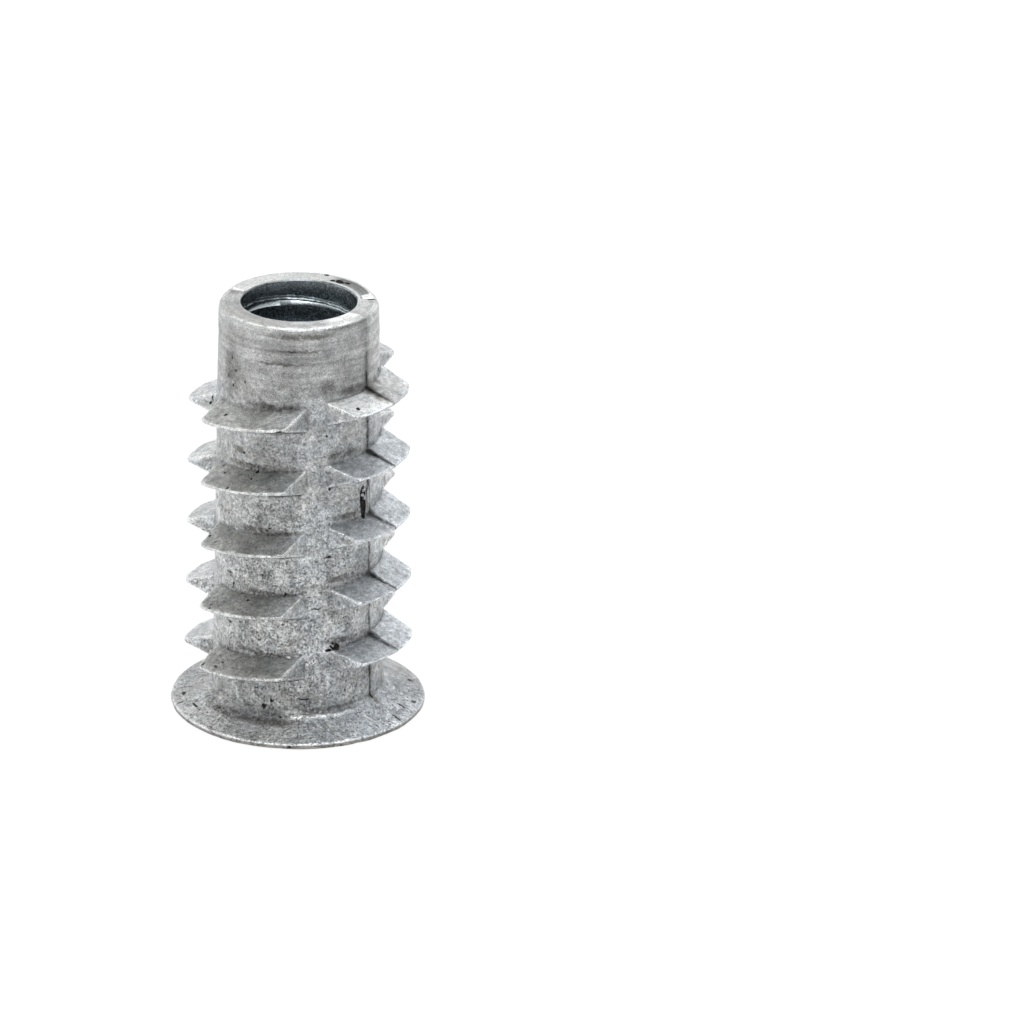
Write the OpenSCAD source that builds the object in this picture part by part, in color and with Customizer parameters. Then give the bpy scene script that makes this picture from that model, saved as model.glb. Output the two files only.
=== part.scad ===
// Die-cast threaded insert for wood, driven by a hex key from its flanged end.
// Frame: millimetres, +Z up along the bore. The origin is the centre of the flange's flat
// underside. The two halves of the die part along the XZ plane and draw off along -Y and +Y.

/* [Barrel] */
// Height from the flange's underside to the tip of the plain end
length = 20; // [14:0.5:30]
// Wall between the bore's mouth and the outside of the plain end
mouth_wall = 1.02; // [0.7:0.02:1.4]
// Wall between the hex socket's corners and the outside of the barrel
hex_wall = 0.47; // [0.3:0.01:0.9]
// Rounding of the plain end's outer edge
rim_round = 0.25; // [0.1:0.05:0.4]
// Height of the trimmed lip that stands on part of the plain end
rim_lip = 0.12; // [0.05:0.01:0.2]

/* [Flange] */
// Diameter of the flange
flange_d = 11.9; // [9.6:0.1:16]
// Thickness of the flange at its edge
flange_edge = 0.25; // [0.2:0.05:0.5]
// Height at which the flange's dished top meets the barrel
flange_top_z = 1.0; // [0.6:0.05:1.4]

/* [Wood thread] */
// Height of a wing above the barrel in the highest row
wing_height_top = 1.46; // [1:0.02:1.9]
// Height of a wing above the barrel in the lowest row
wing_height_base = 1.55; // [1:0.05:1.9]
// Pitch of the wood thread
wood_pitch = 3.05; // [2.5:0.05:4]
// Distance from the plain end down to the first crest on the +X side
plain_end = 4.1; // [3:0.1:6]
// Width at the root of a wing that faces the die's draw
facing_wing_w = 4.7; // [4:0.05:5.2]
// Width at the root of a wing that the parting plane splits
split_wing_w = 4.5; // [4:0.05:5.2]
// How much a wing's two sides draw in from root to crest, taken together
wing_side_draft = 0.14; // [0.1:0.02:0.6]
// Thickness of the flat land on a wing's crest
crest_land = 0.12; // [0.08:0.01:0.2]
// Slope of a wing's flanks on the two columns that face the die's draw
flank_slope = 19; // [15:0.5:22]
// Slope of a split wing's flank that follows the helix
helical_slope = 14.5; // [13:0.5:18]
// Slope of a split wing's flank that lies straight along the draw
straight_slope = 20.5; // [18:0.5:25]

/* [Bore] */
// Minor diameter of the 1/4-20 bolt thread
bolt_minor_d = 4.98; // [4:0.02:6]
// Step from the bolt thread's crests out to the smooth mouth
mouth_step = 0.16; // [0.1:0.02:0.4]
// Depth of the smooth mouth
mouth_depth = 1.1; // [0.6:0.1:2]

/* [Hex socket] */
// Hex socket across its flats
hex_af = 6.1; // [5.05:0.05:7.4]
// Depth of the hex socket at its corners, where its conical floor starts
hex_depth = 2.6; // [1.8:0.1:3.4]
// Width of the bevel that leads a key into the hex socket's corners
lead_in = 0.48; // [0.2:0.02:0.6]

/* [Hidden] */

bolt_minor_r = bolt_minor_d / 2;
mouth_r = bolt_minor_r + mouth_step;
hex_corner_r = hex_af / 2 / cos(30);
lead_in_r = hex_corner_r + lead_in;
barrel_base_r = hex_corner_r + hex_wall;
barrel_top_r = mouth_r + mouth_wall;
flange_r = flange_d / 2;
rim_face_z = length - rim_lip;
overshoot = 1;
// Angle from +X at which round surfaces close on themselves, between two columns of wings
seam = 45;

// The flange's top: a narrow ledge round the barrel, then a dished slope out to the edge
ledge = 0.12;
dish_steps = 6;
dish_power = 1.25;
function dish(t) = [
    flange_r + (barrel_base_r + ledge - flange_r) * t,
    flange_edge + (flange_top_z - flange_edge) * pow(t, dish_power)
];

// Rows of wings: the highest on +X is set by the plain end, and the rest follow at one pitch
// each for as long as the lowest, on the next column round, stays above the flange
top_row_z = length - plain_end;
flange_gap = 0.9;
rows = floor((top_row_z - flange_top_z - flange_gap - wood_pitch / 2) / wood_pitch) + 1;
// Where each column's wings stand on the helix, in turns from the +X column's
turn_plus_y = 0.22;
turn_minus_y = -0.22;
turn_minus_x = -0.42;
// Straight rise of a wing from one side to the other: the columns that face the draw keep
// to the helix, and the split ones hardly rise
facing_rise = 6;
split_rise = 3.2;
// Draft of a straight flank along the draw, and how far it stands off the helical flank of the
// wing's other half where the two meet at the crest
draw_draft = 3;
crest_step = 0.03;
// How far a wing's root goes into the barrel
root_depth = 0.35;

// The trimmed lip round the plain end: where it starts, counter-clockwise from +X, how far it
// goes, and the width of its top, just inside the end's rounded edge
lip_from = 38;
lip_sweep = 152;
lip_inset = 0.04;
lip_w = 0.12;
rim_face_r = barrel_top_r - rim_round;
lip_r = rim_face_r - lip_inset;

function barrel_r(z) =
    barrel_base_r + (barrel_top_r - barrel_base_r) * (z - flange_top_z) / (length - flange_top_z);
function row_z(row, turn) = top_row_z - (row - turn) * wood_pitch;
function wing_height(row) =
    wing_height_top + (wing_height_base - wing_height_top) * row / max(rows - 1, 1);

// Outer shape without the thread: flange, dished top, tapered barrel, rounded plain end
module blank() {
    dished_top = [for (i = [0 : dish_steps]) dish(i / dish_steps)];
    rim_arc = [for (a = [0 : 15 : 90])
        [rim_face_r + rim_round * cos(a), rim_face_z - rim_round + rim_round * sin(a)]];
    rotate([0, 0, seam])
        rotate_extrude($fn = 96)
            polygon(concat(
                [[0, 0], [flange_r, 0]],
                dished_top,
                [[barrel_base_r, flange_top_z]],
                rim_arc,
                [[0, rim_face_z]]
            ));
}

// Lip left round part of the plain end, falling from its outer edge towards the bore
module trimmed_lip() {
    rotate([0, 0, lip_from])
        rotate_extrude(angle = lip_sweep, $fn = 96)
            polygon([
                [bolt_minor_r, rim_face_z - rim_round],
                [lip_r, rim_face_z - rim_round],
                [lip_r, length],
                [lip_r - lip_w, length],
                [bolt_minor_r, rim_face_z]
            ]);
}

// Room for one wing along +X, of a width at its root. Its sides draw in a little towards the
// crest. A split wing has the half towards +Y only.
module wing_room(w, split, root_r, crest_r) {
    inner_x = root_r - root_depth;
    outer_x = crest_r + overshoot;
    draft = wing_side_draft / 2 / (crest_r - root_r);
    inner_y = w / 2 + draft * root_depth;
    outer_y = w / 2 - draft * (outer_x - root_r);
    back = split ? 0 : -1;
    linear_extrude(wood_pitch, center = true)
        polygon([[0, inner_y * back], [inner_x, inner_y * back], [outer_x, outer_y * back],
                 [outer_x, outer_y], [inner_x, inner_y], [0, inner_y]]);
}

// A wing that faces the draw: a piece of a ridge that runs round the barrel on the helix's
// slope, with its crest at height 0
module whole_wing(root_r, crest_r) {
    inner_r = root_r - root_depth;
    inner_z = crest_land / 2 + (crest_r - inner_r) * tan(flank_slope);
    intersection() {
        wing_room(facing_wing_w, false, root_r, crest_r);
        rotate([facing_rise, 0, 0])
            rotate([0, 0, 180])
                rotate_extrude($fn = 96)
                    polygon([[inner_r, -inner_z], [crest_r, -crest_land / 2],
                             [crest_r, crest_land / 2], [inner_r, inner_z]]);
    }
}

// Solid below a flank that lies straight along the draw, at a split wing's crest radius
module below_straight_flank(crest_r) {
    crest_z = crest_land / 2 + crest_step;
    outer_x = crest_r + overshoot;
    axis_z = crest_z + crest_r * tan(straight_slope);
    outer_z = crest_z - overshoot * tan(straight_slope);
    rotate([-draw_draft, 0, 0])
        translate([0, split_wing_w, 0])
            rotate([90, 0, 0])
                linear_extrude(2 * split_wing_w)
                    polygon([[0, -wood_pitch], [outer_x, -wood_pitch],
                             [outer_x, outer_z], [0, axis_z]]);
}

// Solid above a flank that follows the helix
module above_helical_flank(root_r, crest_r) {
    inner_r = root_r - root_depth;
    outer_r = crest_r + overshoot;
    inner_z = -crest_land / 2 - (crest_r - inner_r) * tan(helical_slope);
    outer_z = -crest_land / 2 + overshoot * tan(helical_slope);
    rotate([split_rise, 0, 0])
        rotate([0, 0, 180])
            rotate_extrude($fn = 96)
                polygon([[inner_r, inner_z], [outer_r, outer_z],
                         [outer_r, wood_pitch], [inner_r, wood_pitch]]);
}

// Half of a split wing, ahead of the parting plane along the helix: its upper flank lies
// straight along the draw and its lower flank follows the helix
module leading_half(root_r, crest_r) {
    intersection() {
        wing_room(split_wing_w, true, root_r, crest_r);
        rotate([0, 0, 180])
            cylinder(r = crest_r, h = 2 * wood_pitch, center = true, $fn = 96);
        above_helical_flank(root_r, crest_r);
        below_straight_flank(crest_r);
    }
}

// A wing across the parting plane: the half behind it is the same shape turned over
module split_wing(root_r, crest_r) {
    for (turned = [0, 180])
        rotate([turned, 0, 0])
            leading_half(root_r, crest_r);
}

// All the wings of the column that stands at an angle from +X
module column(angle, turn, split) {
    rotate([0, 0, angle])
        for (row = [0 : rows - 1]) {
            z = row_z(row, turn);
            root_r = barrel_r(z);
            crest_r = root_r + wing_height(row);
            translate([0, 0, z]) {
                if (split) split_wing(root_r, crest_r);
                else whole_wing(root_r, crest_r);
            }
        }
}

// Smooth mouth, bolt bore, hex socket and its lead-in, as one cutter along Z
module bore() {
    cone_to_mouth = mouth_r - bolt_minor_r;
    hex_floor_r = hex_corner_r + hex_depth + overshoot;
    rotate([0, 0, seam]) {
        translate([0, 0, -overshoot])
            cylinder(r = bolt_minor_r, h = length + 2 * overshoot, $fn = 96);
        translate([0, 0, length - mouth_depth])
            cylinder(r = mouth_r, h = mouth_depth + overshoot, $fn = 96);
        translate([0, 0, length - mouth_depth - cone_to_mouth])
            cylinder(r1 = bolt_minor_r, r2 = mouth_r, h = cone_to_mouth, $fn = 96);
        translate([0, 0, -overshoot])
            cylinder(r1 = lead_in_r + overshoot, r2 = 0, h = lead_in_r + overshoot, $fn = 96);
    }
    translate([0, 0, -overshoot])
        intersection() {
            rotate([0, 0, 30])
                cylinder(r = hex_corner_r, h = hex_floor_r, $fn = 6);
            rotate([0, 0, seam])
                cylinder(r1 = hex_floor_r, r2 = 0, h = hex_floor_r, $fn = 96);
        }
}

module insert() {
    color([0.67, 0.68, 0.68])
        difference() {
            union() {
                blank();
                trimmed_lip();
                column(0, 0, true);
                column(90, turn_plus_y, false);
                column(180, turn_minus_x, true);
                column(270, turn_minus_y, false);
            }
            bore();
        }
}

insert();
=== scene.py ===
"""Looks of a die-cast threaded insert: one casting on a pale floor, in metres.

The casting is modelled in millimetres, with +Z up its bore and the origin at the centre of the
flange's flat underside, and is brought down to metres when it is finished. Angles are in degrees,
counter-clockwise from +X. The two halves of the die parted along the XZ plane and drew off along
-Y and +Y.
"""
import math

import bpy
import numpy as np
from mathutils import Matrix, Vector


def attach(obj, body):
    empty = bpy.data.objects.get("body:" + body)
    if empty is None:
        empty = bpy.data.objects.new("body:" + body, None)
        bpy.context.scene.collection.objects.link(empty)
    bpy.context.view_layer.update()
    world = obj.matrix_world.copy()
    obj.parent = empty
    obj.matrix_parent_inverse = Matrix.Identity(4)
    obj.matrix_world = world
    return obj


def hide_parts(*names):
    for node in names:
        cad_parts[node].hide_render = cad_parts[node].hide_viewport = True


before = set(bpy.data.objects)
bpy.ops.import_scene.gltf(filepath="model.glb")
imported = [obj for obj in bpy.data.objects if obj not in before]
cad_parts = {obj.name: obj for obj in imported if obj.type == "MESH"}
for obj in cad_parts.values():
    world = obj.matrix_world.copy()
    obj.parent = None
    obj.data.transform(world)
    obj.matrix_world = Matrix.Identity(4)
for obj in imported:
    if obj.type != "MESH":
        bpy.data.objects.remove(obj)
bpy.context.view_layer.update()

MM = 0.001
# Angle at which turned shapes close on themselves, between two columns of wings
SEAM = 45.0

# Barrel and flange
LENGTH = 20.0
RIM_Z = 19.87
RIM_ROUND = 0.27
MOUTH_R = 2.65
MOUTH_DEPTH = 1.1
MINOR_R = 2.49
BARREL_BASE_R = 3.99
BARREL_TOP_R = 3.67
FLANGE_R = 5.93
FLANGE_EDGE = 0.25
FLANGE_ROUND = 0.05
FLANGE_TOP_Z = 1.0
LEDGE = 0.12
DISH_STEPS = 12
DISH_POWER = 1.25
# Faint rings round the plain end, as (height, depth), and how wide they are
RINGS = ((18.9, 0.014), (18.55, 0.010), (18.2, 0.012), (17.7, 0.006))
RING_W = 0.07

# Trimmed lip on the plain end: its top, its two ends and how far each end leans out
LIP_Z = 19.985
LIP_FROM, LIP_TO = 38, 190
LIP_LEANS = (2.6, 1.0)

# Wood thread
ROWS = 5
WOOD_PITCH = 3.05
TOP_ROW_Z = 15.9
ROOT_DEPTH = 0.35
CREST_LAND = 0.10
CREST_STEP = 0.02
FACING_W = 4.7
SPLIT_W = 4.5
SIDE_DRAFT = 0.07
FACING_RISE = 6.0
SPLIT_RISE = 3.2
FACING_SLOPE = 19.0
HELICAL_SLOPE = 14.5
STRAIGHT_SLOPE = 20.5
DRAW_DRAFT = 3.0
WING_HEIGHT_TOP = 1.46
WING_HEIGHT_BASE = 1.55
# Columns: angle, where their wings stand on the helix, in turns, and whether the parting plane
# splits them
COLUMNS = ((0, 0, True), (90, 0.22, False), (180, -0.42, True), (270, -0.22, False))
# A wing is modelled with its root and its crest this far out, and shifted to its row
MODEL_ROOT_R = 3.85
MODEL_CREST_R = 5.35
# Size of the corners cut off a crest's two tips, and the cuts, as (share of that size, lean)
FACING_CORNERS = (0.35, 0.12)
SPLIT_CORNERS = (0.0, 0.55)
TIP_CUTS = ((0.22, 60), (0.32, 35))

# Bolt thread and the key's socket
BOLT_PITCH = 1.27
BOLT_MAJOR_R = 3.175
BOLT_FLANK = 30
BOLT_FROM_Z, BOLT_TO_Z = -1.37, 18.9
HEX_AF = 6.1
HEX_CORNER_R = HEX_AF / 2 / math.cos(math.radians(30))
HEX_DEPTH = 2.6
HEX_EASE = 0.1
LEAD_IN_R = HEX_CORNER_R + 0.48

# Shallow groove inside the mouth, tilted across the bore
UNDERCUT_FROM, UNDERCUT_TO = 45, 205
UNDERCUT_Z = 19.0
UNDERCUT_DEPTH = 0.13
UNDERCUT_TILT = 4.6

# Squeezed-out bead on the flange, with its lengths as (from, to, radius)
BEAD_LENGTHS = ((-61, -36, 4.36), (-36.5, -17, 4.38))
BEAD_THICKNESS = 0.15
BEAD_Z = 0.89

# Sides of turned shapes, and steps in one turn of the bolt thread
BODY_SIDES = 256
WING_SIDES = 192
THREAD_STEPS = 96

# Cast surface: size of the skin's cells, faces that it keeps and how far it swells
CELL = 0.045
SKIN_FACES = 142000
SWELL = 0.05
# Relief: how far a point stands proud to count as 1, what pieces that stand proud are given, which
# paints their edges bright, part wear and part painted highlight, and what is always painted
# bright as a highlight
PROUD = 0.015
WORN_GLINT = 0.7
BEAD_GLINT = 2.0
# Distance between the places in the lump pattern that two blobs are shaped by
BLOB_APART = 3.1
# Radius at which angles round the barrel are read as widths
UNROLL_R = 4.0

# Areas of the skin, by the heights or radii where one begins and where it is full
PLAIN_END_Z = (15.8, 17.2)
TOP_FLANKS_Z = (14.6, 15.2)
SHADED_Z = (9.5, 11.0)
LOW_WALLS_Z = (12.0, 10.0)
FLANGE_Z = (1.15, 0.95)
FLANGE_SIDE_R = (5.84, 5.88)
RIM_EDGE_Z = (19.68, 19.74)
# The wall on the +X side, by X
PLUS_X_WALL = (3.2, 3.4)
# Bands up the casting: angle of the middle, and half widths where one begins and where it is full
# painted shade: the upward flanks on the -Y side are made darker and a little olive
FLANK_SHADE_BAND = (-104, 42, 24)
PARTING_BAND = (5, 45, 30)
SHADED_BAND = (-67, 18, 6)
# painted highlight on the rim's outer edge
RIM_GLINT_BAND = (-70, 60, 30)
WARM_BAND = (-95, 50, 28)
# painted light and shade round the plain end
PLAIN_END_SHEEN_BAND = (-87, 25, 8)
# painted shade: the flange round -65 degrees is made darker
FLANGE_SHADE_BAND = (-65, 80, 50)
# painted reflection: a lighter patch on the flange's +X side
FLANGE_SHEEN_BAND = (-3, 32, 12)

# Tone and roughness of the skin, each from its dark patches to its pale ones, and bump depths
SKIN_TONE = (0.44, 0.70)
SKIN_ROUGH = (0.40, 0.30)
SKIN_BUMP = 0.09 * MM
BORE_BUMP = 0.03 * MM
TRIM_BUMP = 0.02 * MM


def new_material(name):
    material = bpy.data.materials.new(name)
    material.use_nodes = True
    return material


SKIN, BORE, TRIM, BLACK_FILL = (new_material(name) for name in
                           ("cast_skin", "core_finish", "trimmed_face", "black_fill"))


# ---------------------------------------------------------------- shaping tools

def only(*pieces):
    """Selects these pieces and nothing else; the first one is the active one."""
    bpy.ops.object.select_all(action="DESELECT")
    for piece in pieces:
        piece.select_set(True)
    bpy.context.view_layer.objects.active = pieces[0]


def open_edit(piece, mode="VERT", action="SELECT"):
    """Opens a piece in edit mode, with all of it selected or none of it."""
    only(piece)
    bpy.ops.object.mode_set(mode="EDIT")
    bpy.ops.mesh.select_mode(type=mode)
    bpy.ops.mesh.select_all(action=action)


def close_edit():
    bpy.ops.object.mode_set(mode="OBJECT")


def face_outwards():
    """Turns every face of the piece in edit mode outwards."""
    bpy.ops.mesh.select_all(action="SELECT")
    bpy.ops.mesh.normals_make_consistent(inside=False)


def select_edges(piece, wanted):
    """Opens a piece in edit mode with only the wanted edges selected, told by their two ends."""
    open_edit(piece, "EDGE", "DESELECT")
    close_edit()
    for edge in piece.data.edges:
        edge.select = wanted(*(piece.data.vertices[v].co for v in edge.vertices))
    bpy.ops.object.mode_set(mode="EDIT")


def modify(piece, kind, **settings):
    """Adds one modifier to a piece and applies it."""
    only(piece)
    modifier = piece.modifiers.new(kind.title(), kind)
    for name, value in settings.items():
        setattr(modifier, name, value)
    bpy.ops.object.modifier_apply(modifier=modifier.name)


def roughen(piece, strength):
    """Makes a piece lumpy."""
    modify(piece, "DISPLACE", texture=LUMPS, strength=strength, mid_level=0.5)


def move(piece, turn=(0, 0, 0), shift=(0, 0, 0), size=(1, 1, 1)):
    """Sizes, turns and shifts a piece about the origin, in its mesh."""
    only(piece)
    piece.scale = size
    piece.rotation_euler = [math.radians(a) for a in turn]
    piece.location = shift
    bpy.ops.object.transform_apply(location=True, rotation=True, scale=True)


def copied(piece, name):
    """A copy of a piece with its own mesh."""
    twin = piece.copy()
    twin.data = piece.data.copy()
    twin.name = name
    bpy.context.scene.collection.objects.link(twin)
    return twin


def joined(pieces):
    """Makes one piece of several."""
    only(*pieces)
    bpy.ops.object.join()
    return pieces[0]


def coat(piece, finish):
    """Gives the whole of a piece one material."""
    piece.data.materials.clear()
    piece.data.materials.append(finish)
    open_edit(piece, "FACE")
    bpy.ops.object.material_slot_assign()
    close_edit()


def combine(piece, other, operation):
    """Fuses another solid to a piece, cuts it away or keeps what they share."""
    modify(piece, "BOOLEAN", object=other, operation=operation, solver="MANIFOLD",
           material_mode="TRANSFER")
    bpy.data.objects.remove(other)


def turned(name, profile, sides=BODY_SIDES):
    """A solid of revolution: a disc drawn up ring by ring through (radius, height) pairs."""
    (radius, z), *rest = profile
    bpy.ops.object.select_all(action="DESELECT")
    bpy.ops.mesh.primitive_circle_add(
        vertices=sides, radius=radius, fill_type="NGON", location=(0, 0, z),
        rotation=(0, 0, math.radians(SEAM)))
    piece = bpy.context.object
    piece.name = name
    bpy.ops.object.transform_apply()
    open_edit(piece, "FACE")
    for next_radius, next_z in rest:
        bpy.ops.mesh.extrude_region_move(
            TRANSFORM_OT_translate={"value": (0, 0, next_z - z)})
        share = next_radius / radius
        bpy.ops.transform.resize(value=(share, share, 1), center_override=(0, 0, next_z))
        radius, z = next_radius, next_z
    face_outwards()
    close_edit()
    return piece


def sliced(piece, point, normal):
    """Cuts off what lies on the side of a plane that its normal points to, and closes the cut."""
    open_edit(piece)
    bpy.ops.mesh.bisect(plane_co=point, plane_no=normal, use_fill=True, clear_outer=True)
    face_outwards()
    close_edit()


def ring_bar(radius, thickness, z, sides):
    """A round bar bent into a ring about the bore's axis."""
    bpy.ops.object.select_all(action="DESELECT")
    bpy.ops.mesh.primitive_torus_add(major_radius=radius, minor_radius=thickness,
                                     major_segments=sides, minor_segments=16,
                                     location=(0, 0, z))
    piece = bpy.context.object
    bpy.ops.object.transform_apply()
    return piece


def clouds(name, size):
    """A soft lumpy pattern for displacing a surface, with lumps of about this size."""
    texture = bpy.data.textures.new(name, "CLOUDS")
    texture.noise_scale = size
    texture.noise_depth = 1
    return texture


LUMPS = clouds("lumps", 0.35)


def spot_on(radius, angle, z=0.0):
    """The place at a radius, an angle and a height."""
    a = math.radians(angle)
    return radius * math.cos(a), radius * math.sin(a), z


def barrel_r(z):
    """The tapered barrel's radius at a height."""
    taper = (BARREL_TOP_R - BARREL_BASE_R) * (z - FLANGE_TOP_Z) / (LENGTH - FLANGE_TOP_Z)
    return BARREL_BASE_R + taper


# ---------------------------------------------------------------- outer body

def flange_and_barrel():
    """Flange with a dished top, tapered barrel with faint rings, and rounded plain end."""
    profile = [(FLANGE_R - FLANGE_ROUND, 0), (FLANGE_R, FLANGE_ROUND),
               (FLANGE_R, FLANGE_EDGE - 0.06), (FLANGE_R - FLANGE_ROUND, FLANGE_EDGE)]
    inner = BARREL_BASE_R + LEDGE
    for step in range(1, DISH_STEPS + 1):
        t = step / DISH_STEPS
        profile.append((FLANGE_R + (inner - FLANGE_R) * t,
                        FLANGE_EDGE + (FLANGE_TOP_Z - FLANGE_EDGE) * t ** DISH_POWER))
    z = FLANGE_TOP_Z + LEDGE
    while z < RIM_Z - RIM_ROUND - 0.05:
        ring = 0.0
        for height, depth in RINGS:
            ring += depth * math.exp(-((z - height) / RING_W) ** 2)
        profile.append((barrel_r(z) - ring, z))
        # the rings need closer steps
        z += 0.09 if z > 17.4 else 0.6
    for angle in range(0, 91, 15):
        a = math.radians(angle)
        profile.append((BARREL_TOP_R - RIM_ROUND + RIM_ROUND * math.cos(a),
                        RIM_Z - RIM_ROUND + RIM_ROUND * math.sin(a)))
    profile.append((1.0, RIM_Z))
    return turned("body", profile)


def keep_part(ring, start, end, z=0.0, leans=(0.0, 0.0)):
    """Keeps the part of a turned ring between two angles, under half a turn apart."""
    for angle, side, lean in ((start, -1, leans[0]), (end, 1, leans[1])):
        a = math.radians(angle)
        sliced(ring, (0, 0, z), (-math.sin(a) * side, math.cos(a) * side, lean))


def trimmed_lip():
    """The lip left round part of the plain end, falling from its outer edge to the bore."""
    outer = BARREL_TOP_R - RIM_ROUND + 0.03
    lip = turned("lip", [(1.0, RIM_Z - 0.3), (outer, RIM_Z - 0.3), (outer, RIM_Z - 0.02),
                         (outer - 0.02, LIP_Z - 0.03), (outer - 0.05, LIP_Z),
                         (outer - 0.13, LIP_Z - 0.005), (outer - 0.16, LIP_Z - 0.02),
                         (MOUTH_R + 0.07, RIM_Z + 0.006), (MOUTH_R, RIM_Z + 0.03),
                         (MINOR_R, RIM_Z + 0.03), (1.0, RIM_Z + 0.03)])
    keep_part(lip, LIP_FROM, LIP_TO, RIM_Z, LIP_LEANS)
    return lip


# ---------------------------------------------------------------- wings

def trim_sides(wing, width, corners):
    """Trims a ridge to one wing's width; its two sides draw in a little to the crest."""
    draft = SIDE_DRAFT / (MODEL_CREST_R - MODEL_ROOT_R)
    y = width / 2 - SIDE_DRAFT
    x = math.sqrt(MODEL_CREST_R ** 2 - y ** 2)
    for side, corner in zip((-1, 1), corners):
        sliced(wing, (MODEL_ROOT_R, side * width / 2, 0), (draft, side, 0))
        for share, lean in TIP_CUTS:
            a = math.radians(lean)
            sliced(wing, (x - share * corner, side * y, 0), (math.sin(a), side * math.cos(a), 0))
    # its inner end stays in the barrel's wall
    sliced(wing, (2.6, 0, 0), (-1, 0, 0))


def ridge(name, slope, tilt, upper=None):
    """A ridge right round, tilted about the X axis. Its upper flank mirrors the lower one, or
    runs between the heights given for its crest and its root."""
    inner = MODEL_ROOT_R - ROOT_DEPTH
    rise = (MODEL_CREST_R - inner) * math.tan(math.radians(slope))
    crest_z, root_z = upper or (CREST_LAND / 2, CREST_LAND / 2 + rise)
    piece = turned(name, [(inner, -CREST_LAND / 2 - rise), (MODEL_CREST_R, -CREST_LAND / 2),
                          (MODEL_CREST_R, crest_z), (inner, root_z)], WING_SIDES)
    move(piece, turn=(tilt, 0, 0))
    return piece


def facing_wing():
    """A wing on a column that faces the draw: a piece of a ridge, tilted along the helix."""
    wing = ridge("facing_wing", FACING_SLOPE, FACING_RISE)
    trim_sides(wing, FACING_W, FACING_CORNERS)
    return wing


def split_wing():
    """A wing across the parting plane: two halves, the second the first one turned over."""
    # thick enough above to cut the straight flank from
    half = ridge("split_wing", HELICAL_SLOPE, SPLIT_RISE, (0.3, 1.4))
    slope = math.radians(STRAIGHT_SLOPE)
    draft = math.radians(-DRAW_DRAFT)
    normal = Vector((math.sin(slope), -math.sin(draft) * math.cos(slope),
                     math.cos(draft) * math.cos(slope)))
    sliced(half, (MODEL_CREST_R, 0, CREST_LAND / 2 + CREST_STEP), normal)
    trim_sides(half, SPLIT_W, SPLIT_CORNERS)
    sliced(half, (0, 0, 0), (0, -1, 0))
    other = copied(half, "other_half")
    move(other, turn=(180, 0, 0))
    combine(half, other, "UNION")
    return half


def all_wings():
    """Copies the two kinds of wing to every row of their columns."""
    facing, split = facing_wing(), split_wing()
    wings = []
    for angle, turn, is_split in COLUMNS:
        for row in range(ROWS):
            z = TOP_ROW_Z - (row - turn) * WOOD_PITCH
            height = WING_HEIGHT_TOP + (WING_HEIGHT_BASE - WING_HEIGHT_TOP) * row / (ROWS - 1)
            out = barrel_r(z) + height - MODEL_CREST_R
            wing = copied(split if is_split else facing, "wing")
            move(wing, turn=(0, 0, angle), shift=spot_on(out, angle, z))
            wings.append(wing)
    bpy.data.objects.remove(facing)
    bpy.data.objects.remove(split)
    return wings


# ---------------------------------------------------------------- bore

def bolt_thread():
    """The groove of the bolt thread: one tooth wound up the bore by a screw."""
    inner = MINOR_R - 0.2
    half_root = 0.16
    half_mouth = half_root + (BOLT_MAJOR_R - inner) * math.tan(math.radians(BOLT_FLANK))
    turns = (BOLT_TO_Z - BOLT_FROM_Z) / BOLT_PITCH
    middle = (inner + BOLT_MAJOR_R) / 2
    bpy.ops.object.select_all(action="DESELECT")
    bpy.ops.mesh.primitive_plane_add(size=1, location=(0, 0, 0), rotation=(math.pi / 2, 0, 0))
    groove = bpy.context.object
    bpy.ops.object.transform_apply()
    move(groove, shift=(middle, 0, BOLT_FROM_Z),
         size=(BOLT_MAJOR_R - inner, 1, 2 * half_mouth))
    # the plane's outer edge becomes the groove's narrow root
    select_edges(groove, lambda a, b: a.x > middle and b.x > middle)
    bpy.ops.transform.resize(value=(1, 1, half_root / half_mouth))
    close_edit()
    steps = int(THREAD_STEPS * turns)
    modify(groove, "SCREW", angle=2 * math.pi * turns, screw_offset=BOLT_PITCH * turns,
           steps=steps, render_steps=steps, use_merge_vertices=False)
    open_edit(groove, "EDGE", "DESELECT")
    bpy.ops.mesh.select_non_manifold()
    bpy.ops.mesh.fill_holes(sides=4)
    face_outwards()
    close_edit()
    return groove


def undercut():
    """A cutter for the shallow uneven groove inside the mouth, tilted across the bore."""
    groove = ring_bar(MOUTH_R + 0.02, UNDERCUT_DEPTH, UNDERCUT_Z, 384)
    keep_part(groove, UNDERCUT_FROM, UNDERCUT_TO)
    roughen(groove, UNDERCUT_DEPTH * 0.7)
    middle = (UNDERCUT_FROM + UNDERCUT_TO) / 2
    move(groove, shift=(0, 0, -UNDERCUT_Z))
    move(groove, turn=(0, 0, -middle))
    move(groove, turn=(UNDERCUT_TILT, 0, 0))
    move(groove, turn=(0, 0, middle), shift=(0, 0, UNDERCUT_Z))
    return groove


def key_socket():
    """A cutter for the hex socket, with its corners eased and a conical floor."""
    floor_r = HEX_CORNER_R + HEX_DEPTH
    top = 4.0
    bpy.ops.object.select_all(action="DESELECT")
    bpy.ops.mesh.primitive_cylinder_add(vertices=6, radius=HEX_CORNER_R, depth=top + 1,
                                        location=(0, 0, (top - 1) / 2))
    socket = bpy.context.object
    socket.name = "socket"
    bpy.ops.object.transform_apply()
    select_edges(socket, lambda a, b: abs(a.z - b.z) > 1)
    bpy.ops.mesh.bevel(offset=HEX_EASE, segments=3)
    close_edit()
    combine(socket, turned("socket_floor", [(floor_r + 1, -1), (1.0, floor_r - 1.0)]), "INTERSECT")
    return socket


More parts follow.
